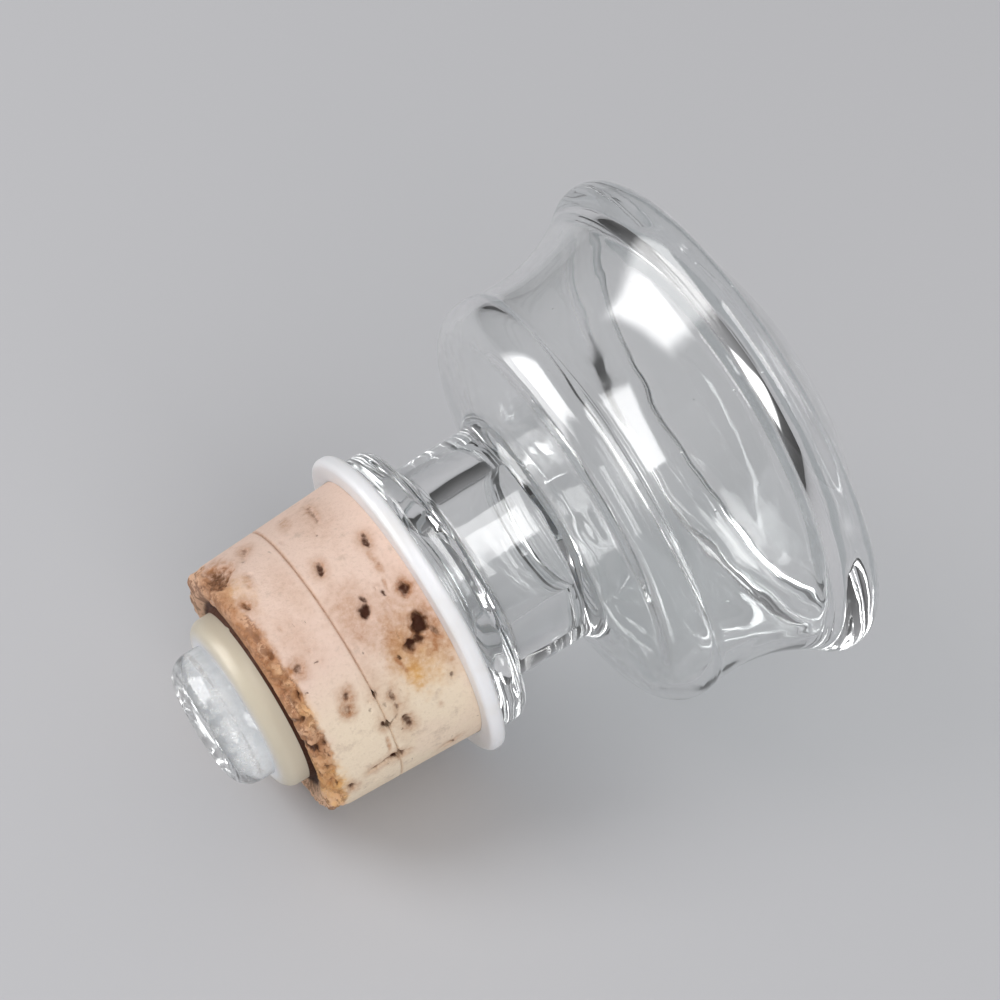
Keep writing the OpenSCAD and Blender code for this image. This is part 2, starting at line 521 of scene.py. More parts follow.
@dataclass(frozen=True)
class GlassFinish:
    """Clear blown glass with soft ripples and smears, and a frosted tip."""

    tint: Colour = (0.985, 0.99, 0.988)
    bending: float = 1.5
    shadow_tint: Colour = (0.93, 0.94, 0.94)
    ripples: Pattern = Pattern(7.0, 1)
    ripple_depth: float = 0.12
    smears: Pattern = Pattern(9.0, 2, 0.6)
    smear_blur: float = 0.09
    scratches: Pattern = Pattern(1.2, 3, 0.7)
    frost_blur: float = 0.22
    frost_cover: float = 0.3
    most_bounces: float = 3.5
    most_turns: float = 5.5

    def material(self) -> bpy.types.Material:
        """Make the material.

        Shadows, soft light and rays that have bounced about inside for long pass straight
        through.

        Returns:
            The material.
        """
        paint = Paint("clear_glass")
        scratches = paint.ramp(paint.spots(self.scratches), 0.35, 0.65)
        frost = paint.math("MULTIPLY", paint.mark("frost"), scratches)
        blur = paint.ramp(paint.spots(self.smears), 0.5, 0.75, self.smear_blur)
        glass = paint.get(
            "ShaderNodeBsdfPrincipled",
            {
                "Base Color": (*self.tint, 1),
                "Transmission Weight": paint.math("MULTIPLY_ADD", frost, -self.frost_cover, 1.0),
                "IOR": self.bending,
                "Roughness": paint.math("MULTIPLY_ADD", frost, self.frost_blur, blur),
                "Normal": paint.bump(paint.spots(self.ripples), self.ripple_depth),
            },
        )
        clear = paint.get("ShaderNodeBsdfTransparent", {"Color": (*self.shadow_tint, 1)})
        path = paint.add("ShaderNodeLightPath").outputs
        passing = paint.math("MAXIMUM", path["Is Shadow Ray"], path["Is Diffuse Ray"])
        for length, most in (("Glossy Depth", self.most_bounces), ("Ray Depth", self.most_turns)):
            spent = paint.math("GREATER_THAN", path[length], most)
            passing = paint.math("MAXIMUM", passing, spent)
        return paint.showing(paint.get("ShaderNodeMixShader", {0: passing, 1: glass, 2: clear}))


@dataclass(frozen=True)
class PlasticFinish:
    """Soft white plastic, scuffed; its tube's lower end is cream, partly tint and partly painted
    shade.
    """

    white: Colour = (0.84, 0.84, 0.86)
    # Also the tube's lower end, partly the plastic's tint there and partly painted shade.
    cream: Colour = (0.58, 0.52, 0.41)
    clouds: Pattern = Pattern(6.0, 3)
    cloud_share: float = 0.25
    scuffs: Pattern = Pattern(0.5, 4, 0.7)
    scuff_depth: float = 0.03
    scuff_blur: float = 0.25
    blur: float = 0.32
    bending: float = 1.5
    softness: float = 0.25
    soft_reach: float = 2.0

    def material(self) -> bpy.types.Material:
        """Make the material.

        Returns:
            The material.
        """
        paint = Paint("white_plastic")
        cloudy = paint.ramp(paint.spots(self.clouds), 0.45, 0.8, self.cloud_share)
        scuffs = paint.spots(self.scuffs)
        duller = paint.ramp(scuffs, 0.4, 0.8, self.scuff_blur)
        # Painted shade: the tube's lower end turns cream, partly tint and partly the shade it
        # lies in.
        colour = paint.mix(paint.mark("thin"), self.white, self.cream)
        plastic = paint.get(
            "ShaderNodeBsdfPrincipled",
            {
                "Base Color": paint.mix(cloudy, colour, self.cream),
                "Roughness": paint.math("ADD", duller, self.blur),
                "Subsurface Weight": self.softness,
                "Subsurface Radius": (1.0, 0.9, 0.8),
                "Subsurface Scale": self.soft_reach * SCALE,
                "IOR": self.bending,
                "Normal": paint.bump(scuffs, self.scuff_depth, 0.6),
            },
        )
        return paint.showing(plastic)


@dataclass(frozen=True)
class CorkFinish:
    """Natural cork: pink to cream, brown pits and stains, a worn brown edge, painted shade by the
    sleeve.
    """

    cream: Colour = (0.80, 0.67, 0.52)
    pink: Colour = (0.74, 0.56, 0.47)
    fleck: Colour = (0.46, 0.34, 0.27)
    brown: Colour = (0.40, 0.19, 0.09)
    amber: Colour = (0.72, 0.41, 0.14)
    worn: Colour = (0.68, 0.42, 0.27)
    worn_dark: Colour = (0.24, 0.105, 0.045)
    # Dark for the pits, and also painted shade in the gap round the sleeve.
    pit: Colour = (0.05, 0.017, 0.008)
    clouds: Pattern = Pattern(9.0, 3)
    smudges: Pattern = Pattern(2.4, 4, 0.7)
    grain: Pattern = Pattern(0.45, 3, 0.65)
    crumbs: Pattern = Pattern(0.8, 3, 0.7)
    fray: float = 0.8
    unevenness: float = 2.4
    relief: float = 0.14
    dullness: float = 0.62

    def frayed(
        self, paint: Paint, name: str, ragged: Socket, low: float, high: float, top: float
    ) -> Socket:
        """How far a named value shows, from 0 at low to top at high, with a ragged edge."""
        shift = paint.math("MULTIPLY", ragged, self.fray)
        return paint.ramp(paint.math("ADD", paint.mark(name), shift), low, high, top)

    def material(self) -> bpy.types.Material:
        """Make the material.

        Returns:
            The material.
        """
        paint = Paint("cork")
        clouds = paint.ramp(paint.spots(self.clouds), 0.4, 0.65, 0.5)
        smudges = paint.spots(self.smudges)
        grain = paint.spots(self.grain)
        rough = paint.spots(self.crumbs)
        ragged = paint.math("SUBTRACT", rough, 0.5)
        ruddy = paint.math("ADD", paint.mark("ruddy"), clouds)
        body = paint.mix(paint.ramp(ruddy, 0.2, 1.1), self.cream, self.pink)
        body = paint.mix(paint.ramp(grain, 0.5, 0.8, 0.3), body, self.fleck)
        body = paint.mix(paint.ramp(smudges, 0.56, 0.74, 0.45), body, self.fleck)
        crumbs = paint.math("MULTIPLY_ADD", ragged, self.fray, smudges)
        worn = paint.mix(paint.ramp(crumbs, 0.45, 0.55), self.worn_dark, self.worn)
        body = paint.mix(self.frayed(paint, "worn", ragged, 0.3, 0.8, 0.85), body, worn)
        uneven = paint.math("MULTIPLY_ADD", ragged, self.unevenness, 1.0)
        for name, stain in (("amber", self.amber), ("brown", self.brown)):
            body = paint.mix(paint.math("MULTIPLY", paint.mark(name), uneven), body, stain)
        # This dark colour also paints shade in the gap round the sleeve.
        body = paint.mix(self.frayed(paint, "pit", ragged, 0.25, 0.95, 1.0), body, self.pit)
        height = paint.math("ADD", grain, paint.math("MULTIPLY", rough, 0.7))
        cork = paint.get(
            "ShaderNodeBsdfPrincipled",
            {
                "Base Color": body,
                "Roughness": paint.math("ADD", paint.ramp(grain, 0.3, 0.7, 0.2), self.dullness),
                "Specular IOR Level": 0.3,
                "Normal": paint.bump(height, self.relief, 0.8),
            },
        )
        return paint.showing(cork)


@dataclass(frozen=True)
class FloorFinish:
    """A plain pale matt surface."""

    colour: Colour = (0.56, 0.56, 0.58)

    def material(self) -> bpy.types.Material:
        """Make the material."""
        paint = Paint("floor")
        return paint.showing(paint.get("ShaderNodeBsdfDiffuse", {"Color": (*self.colour, 1)}))


def add_object(name: str, data: bpy.types.ID) -> bpy.types.Object:
    """Put data into the scene.

    Args:
        name: The object's name.
        data: A mesh, lamp or camera.

    Returns:
        The object.
    """
    thing = bpy.data.objects.new(name, data)
    bpy.context.scene.collection.objects.link(thing)
    return thing


class GeometryTree(Nodes):
    """A Geometry Nodes tree with named inputs."""

    sockets = {float: "NodeSocketFloat", int: "NodeSocketInt", tuple: "NodeSocketVector"}

    def __init__(self, name: str, values: dict[str, float | int | tuple]) -> None:
        """Start the tree.

        Args:
            name: The tree's name.
            values: A value for each named input, whose type sets the socket's.
        """
        super().__init__(bpy.data.node_groups.new(name, "GeometryNodeTree"))
        face = self.tree.interface
        face.new_socket("Geometry", in_out="INPUT", socket_type="NodeSocketGeometry")
        face.new_socket("Geometry", in_out="OUTPUT", socket_type="NodeSocketGeometry")
        self.values = values
        for label, value in values.items():
            face.new_socket(label, in_out="INPUT", socket_type=self.sockets[type(value)])
        self.given = self.add("NodeGroupInput").outputs

    def keep(self, geometry: Socket, name: str, value: float | Socket) -> Socket:
        """Store a named value on each point of some geometry."""
        inputs = {"Geometry": geometry, "Name": name, "Value": value}
        return self.get("GeometryNodeStoreNamedAttribute", inputs, data_type="FLOAT")

    def named(self, name: str) -> Socket:
        """Read a named value."""
        return self.get("GeometryNodeInputNamedAttribute", {"Name": name}, data_type="FLOAT")

    def read(self, geometry: Socket, number: Socket, value: Socket, kind: str) -> Socket:
        """Read a value of some data type at one numbered point of some geometry."""
        inputs = {"Geometry": geometry, "Value": value, "Index": number}
        return self.get("GeometryNodeSampleIndex", inputs, data_type=kind)

    def between(self, low: float | Socket, high: float | Socket, seed: int) -> Socket:
        """A random number for each point, with a seed that tells one use from another."""
        inputs = {2: low, 3: high, "Seed": seed}
        return self.add("FunctionNodeRandomValue", inputs, data_type="FLOAT").outputs[1]

    def finish(self, geometry: Socket, material: bpy.types.Material) -> None:
        """End the tree with Realize Instances and Set Material.

        Args:
            geometry: The result.
            material: Its material.
        """
        real = self.get("GeometryNodeRealizeInstances", {0: geometry})
        dressed = {"Geometry": real, "Material": material}
        self.add("NodeGroupOutput", {0: self.get("GeometryNodeSetMaterial", dressed)})

    def apply(self, thing: bpy.types.Object) -> None:
        """Run the tree on an object and keep the plain mesh that it makes.

        Args:
            thing: The object, whose mesh is replaced.
        """
        modifier = thing.modifiers.new(self.tree.name, "NODES")
        modifier.node_group = self.tree
        for item in self.tree.interface.items_tree:
            if item.in_out == "INPUT" and item.name in self.values:
                modifier[item.identifier] = self.values[item.name]
        graph = bpy.context.evaluated_depsgraph_get()
        made = bpy.data.meshes.new_from_object(thing.evaluated_get(graph), depsgraph=graph)
        thing.modifiers.remove(modifier)
        thing.data = made


def hand_over(thing: bpy.types.Object, node: str) -> None:
    """Tell the frame what a finished piece stands for.

    Args:
        thing: The piece.
        node: The CAD node that it replaces.
    """
    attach(thing, BODY)
    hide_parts(node)
    log.info("%s: %d faces", thing.name, len(thing.data.polygons))


@dataclass
class BlownGlass:
    """The glass: tip, peg, collar, neck, bowl, skirt, rim and dome round a sealed hollow."""

    placement: Placement
    sleeve: Reach
    rim_height: float = 42.5
    rim_edge: float = 3.2
    dome_radius_at_rim: float = 26.2
    skirt_radius: float = 26.0
    flare_start: float = 28.5
    bowl_radius: float = 26.4
    bowl_height: float = 24.4
    bowl_edge: float = 4.6
    bowl_base: float = 17.4
    neck_radius: float = 13.7
    neck_blend: float = 2.0
    collar_radius: float = 17.5
    collar_thick: float = 4.0
    collar_edge: float = 1.5
    collar_blend: float = 1.4
    contact_gap: float = 0.04
    peg_radius: float = 8.3
    tip_edge: float = 2.7
    frost_fade: float = 1.0
    wall: float = 1.8
    dome_wall: float = 2.6
    ceiling_radius_at_ledge: float = 20.0
    ledge_rise: float = 1.5
    ledge_edge: float = 3.5
    neck_bore_radius: float = 8.0
    blow_hole_radius: float = 3.0
    tip_seal: float = 5.5
    bore_cone: float = 8.0
    around: int = 216
    step: float = 0.5
    coarse_step: float = 1.5
    ripple: float = 0.12
    ripple_length: float = 8.0
    inner_ripple: float = 0.25
    inner_ripple_length: float = 13.0

    node = "glass_stopper"

    def __post_init__(self) -> None:
        """Work out what the outside and the hollow share, such as the arcs' centres."""
        self.reach = Reach.of_node(self.node, self.placement)
        self.rim = (self.reach.radius - self.rim_edge, self.rim_height)
        rise = math.sqrt(self.rim_edge**2 - (self.rim[0] - self.dome_radius_at_rim) ** 2)
        dome_rise = self.reach.high - self.rim_height - rise
        self.dome_radius = (self.dome_radius_at_rim**2 + dome_rise**2) / (2 * dome_rise)
        self.shoulder = (self.bowl_radius - self.bowl_edge, self.bowl_height)
        step = (self.shoulder[0] - self.neck_radius, self.bowl_height - self.bowl_base)
        self.underside = math.degrees(
            math.atan2(step[1], step[0]) - math.asin(self.bowl_edge / math.hypot(*step))
        )
        flare_rise = self.rim_height - self.flare_start
        flare_reach = self.rim[0] - self.skirt_radius
        self.flare_radius = (flare_rise**2 + flare_reach**2 - self.rim_edge**2) / (
            2 * (self.reach.radius - self.skirt_radius)
        )
        self.flare = (self.skirt_radius + self.flare_radius, self.flare_start)

    def outside(self) -> Outline:
        """Draw the outside, from the tip up to the top of the dome.

        Returns:
            The outline, whose left side is solid.
        """
        low = self.reach.low
        seat = self.sleeve.high + self.contact_gap
        collar_top = self.sleeve.high + self.collar_thick
        edge = self.collar_edge
        collar = self.collar_radius - edge
        slope = math.radians(self.underside)
        neck = (
            self.neck_radius + self.neck_blend,
            self.bowl_base + (math.sin(slope) - 1) / math.cos(slope) * self.neck_blend,
        )
        collar_corner = (self.neck_radius + self.collar_blend, collar_top + self.collar_blend)
        notch = math.degrees(
            math.acos((self.skirt_radius - self.shoulder[0]) / self.bowl_edge)
        )
        flare_end = math.degrees(
            math.atan2(self.rim[1] - self.flare[1], self.rim[0] - self.flare[0])
        )
        rim_end = math.degrees(
            math.acos((self.dome_radius_at_rim - self.rim[0]) / self.rim_edge)
        )
        dome_centre = (0.0, self.reach.high - self.dome_radius)
        dome_start = math.degrees(math.acos(self.dome_radius_at_rim / self.dome_radius))
        return (
            Outline((0.0, low), self.step)
            .arc((self.peg_radius - self.tip_edge, low + self.tip_edge), self.tip_edge, -90, 0)
            .line((self.peg_radius, seat), self.coarse_step)
            .arc((collar, seat + edge), edge, -90, 0)
            .arc((collar, collar_top - edge), edge, 0, 90)
            .arc(collar_corner, self.collar_blend, -90, -180)
            .arc(neck, self.neck_blend, 180, 90 + self.underside)
            .arc(self.shoulder, self.bowl_edge, self.underside - 90, notch)
            .line((self.skirt_radius, self.flare_start))
            .arc(self.flare, self.flare_radius, 180, flare_end)
            .arc(self.rim, self.rim_edge, flare_end - 180, rim_end)
            .arc(dome_centre, self.dome_radius, dome_start, 90)
        )

    def hollow(self) -> Outline:
        """Draw the sealed hollow, from the blow hole up to the ceiling.

        Returns:
            The outline, whose right side is solid.
        """
        slope = math.radians(self.underside)
        hole_end = self.reach.low + self.tip_seal
        hollow_radius = self.skirt_radius - self.wall
        edge = self.bowl_edge - self.wall
        throat = (
            self.bowl_base
            + self.wall / math.cos(slope)
            - (self.neck_radius - self.neck_bore_radius) * math.tan(slope)
        )
        shoulder_end = math.degrees(math.acos((hollow_radius - self.shoulder[0]) / edge))
        inner_flare = self.flare_radius + self.wall
        ledge = self.rim_height + self.ledge_rise
        corner_rise = ledge - self.ledge_edge - self.flare[1]
        across = math.sqrt((inner_flare + self.ledge_edge) ** 2 - corner_rise**2)
        corner = (self.flare[0] - across, self.flare[1] + corner_rise)
        turn = math.degrees(math.atan2(corner_rise, -across))
        rim = self.ceiling_radius_at_ledge
        rise = self.reach.high - self.dome_wall - ledge
        ceiling = (rim**2 + rise**2) / (2 * rise)
        ceiling_start = math.degrees(math.acos(rim / ceiling))
        hole = self.blow_hole_radius
        return (
            Outline((0.0, hole_end), self.step)
            .arc((0.0, hole_end + hole), hole, -90, 0)
            .line((hole, 0.0), self.coarse_step)
            .line((self.neck_bore_radius, self.bore_cone), self.coarse_step)
            .line((self.neck_bore_radius, throat))
            .arc(self.shoulder, edge, self.underside - 90, shoulder_end)
            .line((hollow_radius, self.flare[1]))
            .arc(self.flare, inner_flare, 180, turn)
            .arc(corner, self.ledge_edge, turn - 180, 90)
            .line((rim, ledge))
            .arc((0.0, ledge + rise - ceiling), ceiling, ceiling_start, 90)
        )

    def bubbles(self, material: bpy.types.Material) -> GeometryTree:
        """Scatter small air bubbles in the glass.

        Args:
            material: The glass.

        Returns:
            The tree, which keeps the glass and adds the bubbles.
        """
        tree = GeometryTree(
            "air_bubbles",
            {
                "Density": 4500.0,
                "Seed": 7,
                "Least depth": 0.7 * SCALE,
                "Most depth": 1.3 * SCALE,
                "Least radius": 0.06 * SCALE,
                "Most radius": 0.17 * SCALE,
            },
        )
        given = tree.given
        spread = tree.add(
            "GeometryNodeDistributePointsOnFaces",
            {
                "Mesh": given["Geometry"],
                "Selection": tree.math("GREATER_THAN", tree.named("outer"), 0.9),
                "Density": given["Density"],
                "Seed": given["Seed"],
            },
        ).outputs
        depth = tree.between(given["Least depth"], given["Most depth"], 1)
        inward = tree.scaled(spread["Normal"], tree.math("MULTIPLY", depth, -1.0))
        sunk = tree.get(
            "GeometryNodeSetPosition", {"Geometry": spread["Points"], "Offset": inward}
        )
        ball = tree.get("GeometryNodeMeshIcoSphere", {"Radius": 1.0, "Subdivisions": 2})
        radius = tree.between(given["Least radius"], given["Most radius"], 2)
        placed = tree.get(
            "GeometryNodeInstanceOnPoints", {"Points": sunk, "Instance": ball, "Scale": radius}
        )
        real = tree.get("GeometryNodeRealizeInstances", {0: placed})
        turned = tree.get("GeometryNodeFlipFaces", {"Mesh": real})
        rounded = tree.get("GeometryNodeSetShadeSmooth", {"Geometry": turned})
        both = tree.add("GeometryNodeJoinGeometry", {0: given["Geometry"]})
        tree.tree.links.new(rounded, both.inputs[0])
        tree.finish(both.outputs[0], material)
        return tree

    def build(self, material: bpy.types.Material) -> None:
        """Make the glass.

        Args:
            material: The glass.
        """
        outer = Grid.turned(self.outside(), self.around, Solid.LEFT)
        head = smooth(outer.heights(), self.sleeve.high, self.bowl_base)
        outer.sink(self.ripple * head * outer.waves(self.ripple_length, 3.1))
        inner = Grid.turned(self.hollow(), self.around, Solid.RIGHT)
        head = smooth(inner.heights(), self.sleeve.high, self.bowl_base)
        waves = inner.waves(self.inner_ripple_length, 8.7) - 0.5
        inner.sink(self.inner_ripple * (0.2 + head) * waves)
        clear = self.sleeve.low
        tip = smooth(outer.heights(), clear, clear - self.frost_fade).ravel()
        inside = np.zeros(inner.heights().size)
        values = {
            "outer": np.concatenate([np.ones(tip.size), inside]),
            "frost": np.concatenate([tip, inside]),
        }
        data = make_mesh(self.node, [outer, inner], self.placement, values)
        thing = add_object("blown_glass", data)
        self.bubbles(material).apply(thing)
        hand_over(thing, self.node)


@dataclass(frozen=True)
class Wave:
    """A wave in the flange, by how often it goes round, where it starts and how high it is."""

    times: int
    start: float
    height: float


@dataclass
class Sleeve:
    """The white plastic sleeve: a flange under the collar and a tube through the cork."""

    placement: Placement
    bore_radius: float = 8.35
    flange_edge: float = 0.8
    tube_radius: float = 10.8
    tube_edge: float = 1.8
    cork_seat_depth: float = 0.4
    cork_clearance: float = 0.05
    waviness: float = 0.15
    waves: tuple[Wave, ...] = (Wave(2, 0.6, 1.0), Wave(5, 2.1, 0.6))
    shrink: float = 0.012
    shrink_length: float = 9.0
    white_rim: float = 0.4
    around: int = 300
    step: float = 0.3

    node = "plastic_sleeve"

    def __post_init__(self) -> None:
        """Measure the CAD node."""
        self.reach = Reach.of_node(self.node, self.placement)

    def outline(self, cork_radius: float) -> Outline:
        """Draw the section, from the bore's lower end round to its upper end.

        Args:
            cork_radius: The cork's radius where it meets the flange.

        Returns:
            The outline, whose left side is solid.
        """
        low, high = self.reach.low, self.reach.high
        edge = self.flange_edge
        flange = self.reach.radius - edge
        recess = cork_radius + self.cork_clearance
        tube_end = (self.tube_radius - self.tube_edge, low + self.tube_edge)
        return (
            Outline((self.bore_radius, low), self.step)
            .arc(tube_end, self.tube_edge, -90, 0)
            .line((self.tube_radius, self.cork_seat_depth))
            .line((recess, self.cork_seat_depth))
            .line((recess, 0.0))
            .arc((flange, edge), edge, -90, 0)
            .arc((flange, high - edge), edge, 0, 90)
            .line((self.bore_radius, high))
            .line((self.bore_radius, low + self.step))
        )

    def build(self, cork_radius: float, material: bpy.types.Material) -> None:
        """Make the sleeve.

        Args:
            cork_radius: The cork's radius where it meets the flange.
            material: The plastic.
        """
        grid = Grid.turned(self.outline(cork_radius), self.around, Solid.LEFT, loop=True)
        radii = grid.radii()
        outer = smooth(radii, cork_radius, self.reach.radius)
        angles = grid.angles()
        lift = sum(wave.height * np.sin(wave.times * angles + wave.start) for wave in self.waves)
        grid.points[..., 2] += self.waviness * outer * lift
        narrowed = 1 - self.shrink * outer * grid.waves(self.shrink_length, 4.2)
        grid.points[..., :2] *= narrowed[..., None]
        # Painted shade: towards the tube's lower end, out to its outside, the plastic turns
        # cream, partly as its tint and partly as the shade it lies in.
        thin = smooth(grid.heights(), 0, self.reach.low)
        thin *= smooth(radii, self.bore_radius, self.tube_radius - self.white_rim)
        data = make_mesh(self.node, [grid], self.placement, {"thin": thin})
        thing = add_object("plastic_flange_and_tube", data)
        data.materials.append(material)
        hand_over(thing, self.node)


class Tone(Enum):
    """What a mark does to the cork, and how far out its edge fades, for a mark of size 1."""

    # Its attribute also carries painted shade in the gap round the sleeve.
    PIT = ("pit", 1.5, 0.35)
    BROWN = ("brown", 2.0, 0.1)
    AMBER = ("amber", 2.0, 0.1)

    def __init__(self, label: str, end: float, full: float) -> None:
        """Keep what a tone holds.

        Args:
            label: The name of its mesh attribute.
            end: Where its edge ends.
            full: Where it shows in full.
        """
        self.label = label
        self.end = end
        self.full = full


@dataclass(frozen=True)
class Mark:
    """A pit, a crack or a stain: a ragged oval on the cork's side.

    Attributes:
        height: The height of its middle.
        angle: The angle of its middle round the axis, in degrees.
        long: Half its length.
        wide: Half its width.
        lean: How far its length is turned from the axis towards the front, in degrees.
        strength: How strongly it colours the cork, from 0 to 1.
        depth: How deep it goes.
        halo: How brown the cork round it is, from 0 to 1.
    """

    height: float
    angle: float
    long: float
    wide: float
    lean: float
    strength: float
    depth: float = 0.0
    halo: float = 0.0


# Partly measured, partly judged. Places are rounded to half a millimetre and five degrees.
MARKS = {
    Tone.BROWN: (
        Mark(-17.5, -20, 3.4, 1.6, 100, 1.0),
        Mark(-19, 15, 4.5, 0.5, 90, 0.8),
        Mark(-19, 35, 4.5, 0.5, 90, 0.8),
        Mark(-18.5, 0, 3, 0.8, 90, 0.75),
        Mark(-18, 20, 3, 1.3, 90, 0.3),
        Mark(-17.5, 40, 1.3, 0.5, -10, 0.9, 0.2),
        Mark(-18.5, 75, 3, 1.1, 90, 0.5),
        Mark(-15, -5, 1.2, 0.5, 95, 0.4),
        Mark(-14.5, 30, 3, 1.4, 80, 0.25),
        Mark(-13, 60, 1.3, 0.9, 100, 0.4),
        Mark(-12, 10, 3.6, 1.2, 90, 0.2),
        Mark(-11, 90, 1.1, 0.2, 95, 0.8, 0.2),
        Mark(-9.5, 60, 3, 1, 90, 0.25),
        Mark(-9, 75, 4.2, 1.6, 85, 0.3),
        Mark(-7.5, -25, 1.5, 0.7, 100, 0.45),
        Mark(-7.5, 35, 3.6, 2.2, 90, 0.5),
        Mark(-6, 60, 1.4, 0.3, 80, 0.9, 0.1),
        Mark(-5.5, 50, 2.2, 1.5, 95, 0.7),
        Mark(-5, -15, 4, 1.8, 90, 0.25),
        Mark(-4.5, 50, 4.4, 2.6, 90, 0.55),
        Mark(-4, 85, 0.4, 0.3, 95, 0.5),
        Mark(-3.5, 45, 1.6, 1.2, 90, 0.5),
        Mark(-3, 30, 0.8, 0.2, 100, 0.8, 0.1),
        Mark(-2.5, 20, 1.6, 0.4, 90, 0.6),
        Mark(-1.5, 55, 2.8, 1.6, 90, 0.85),
        Mark(-1, 40, 3.6, 1, 90, 0.4),
        Mark(-1, 65, 2.2, 0.8, 90, 0.5),
    ),
    Tone.AMBER: (
        Mark(-18.5, 40, 2.4, 0.8, 80, 0.3),
        Mark(-18.5, 100, 4.2, 1.3, 90, 0.8),
        Mark(-18, 55, 2.6, 0.9, 90, 0.4),
        Mark(-17, -5, 2.8, 1.4, 80, 0.3),
        Mark(-5, 55, 2, 1.4, 95, 0.6),
        Mark(-5, 65, 1.8, 1.2, 85, 0.9),
        Mark(-3.5, 60, 3.4, 2.6, 90, 0.5),
    ),
    Tone.PIT: (
        Mark(-19, 60, 0.4, 0.3, 90, 0.7, 0.3, 0.5),
        Mark(-19, 75, 0.8, 0.6, 90, 0.9, 0.6, 0.9),
        Mark(-19, 95, 0.9, 0.5, 95, 0.7, 0.5, 0.8),
        Mark(-19, 105, 0.8, 0.5, 80, 0.7, 0.5, 0.8),
        Mark(-18.5, 85, 0.6, 0.4, 90, 0.7, 0.4, 0.6),
        Mark(-18, 20, 0.7, 0.5, 90, 0.6, 0.4, 0.7),
        Mark(-18, 30, 0.8, 0.4, 110, 0.6, 0.4, 0.8),
        Mark(-18, 50, 0.6, 0.4, 90, 0.6, 0.4, 0.8),
        Mark(-17.5, -20, 2.6, 1.9, 100, 0.7, 0.7, 1.0),
        Mark(-17, 5, 0.9, 0.4, 70, 0.6, 0.3, 0.8),
        Mark(-16.5, 105, 0.8, 0.5, 80, 0.8, 0.5, 0.6),
        Mark(-16, 40, 0.9, 0.6, 115, 0.7, 0.3, 0.7),
        Mark(-13.5, 65, 0.6, 0.4, 110, 0.6, 0.3, 0.8),
        Mark(-13, -25, 1.4, 0.4, 100, 0.5, 0.2, 0.5),
        Mark(-13, 60, 0.7, 0.4, 110, 0.8, 0.4, 0.7),
        Mark(-13, 100, 1.3, 0.3, -10, 0.7, 0.3, 0.5),
        Mark(-10.5, 80, 0.6, 0.4, 60, 0.9, 0.4, 0.5),
        Mark(-10.5, 100, 1.1, 0.6, 15, 1.0, 0.6, 0.6),
        Mark(-10, 65, 0.5, 0.3, 90, 0.8, 0.3, 0.4),
        Mark(-9.5, 80, 1, 0.2, -30, 0.7, 0.2, 0.4),
        Mark(-8.5, 70, 1.1, 0.3, 95, 0.6, 0.2, 0.5),
        Mark(-8.5, 75, 1.1, 0.3, 85, 0.6, 0.2, 0.5),
        Mark(-8, 10, 1, 0.4, 105, 0.9, 0.4, 0.6),
        Mark(-8, 85, 1.2, 0.4, 80, 0.8, 0.4, 0.6),
        Mark(-6.5, 35, 0.9, 0.6, 105, 1.0, 0.8, 0.5),
        Mark(-6, 30, 0.6, 0.3, 60, 0.8, 0.3, 0.4),
        Mark(-4.5, -20, 2.6, 0.3, 95, 0.6, 0.2, 0.5),
        Mark(-4, 55, 0.9, 0.8, 80, 1.0, 1.1, 0.9),
        Mark(-4, 115, 1.1, 0.3, -15, 0.6, 0.2, 0.5),
        Mark(-3, 55, 1, 0.6, 40, 0.8, 0.9, 0.8),
        Mark(-2, 10, 1, 0.4, 100, 0.9, 0.4, 0.6),
        Mark(-2, 50, 1.2, 1, 100, 1.0, 1.3, 1.0),
        Mark(-1.5, 35, 0.8, 0.6, 100, 0.9, 0.6, 0.9),
        Mark(-1.5, 75, 0.4, 0.3, 95, 0.8, 0.2, 0.3),
        Mark(-1, 55, 1.1, 0.4, 65, 0.7, 0.4, 0.8),
    ),
}


